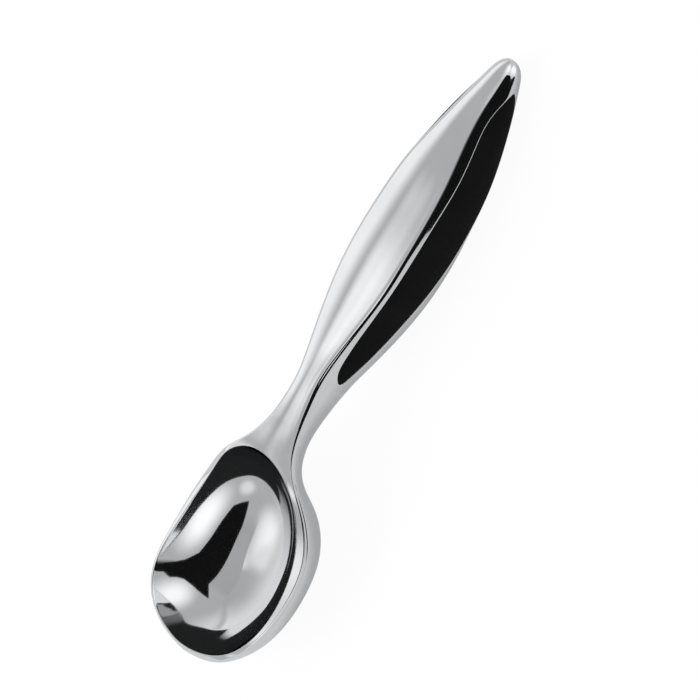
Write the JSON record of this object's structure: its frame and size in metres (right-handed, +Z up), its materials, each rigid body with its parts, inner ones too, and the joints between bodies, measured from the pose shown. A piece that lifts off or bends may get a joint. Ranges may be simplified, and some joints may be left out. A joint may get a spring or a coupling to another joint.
{
  "type": "ice cream scoop",
  "caption": "One-piece polished metal ice cream scoop with an egg-shaped bowl, a waisted neck and a swelling handle with soft black grip panels let into its flanks.",
  "frame": {"origin": "on the table that the scoop lies on, under the middle of its outline", "axes": "+X from the bowl's front lip to the end of the handle, +Y to the holder's right when the bowl faces up and away from them, +Z up out of the bowl"},
  "size_m": [0.2, 0.051, 0.0306],
  "materials": {
    "plated_casting": "bright polished plating on a zinc casting",
    "soft_grip": "matt black soft-touch moulding with a fine grain",
    "rigid_backing": "plain black moulded plastic, hidden",
    "adhesive_film": "thin bonding film, hidden"
  },
  "bodies": {
    "root": {"scoop_body": "plated_casting", "left_grip_skin": "soft_grip", "left_grip_carrier": "rigid_backing", "left_grip_adhesive": "adhesive_film", "right_grip_skin": "soft_grip", "right_grip_carrier": "rigid_backing", "right_grip_adhesive": "adhesive_film"}
  },
  "joints": []
}
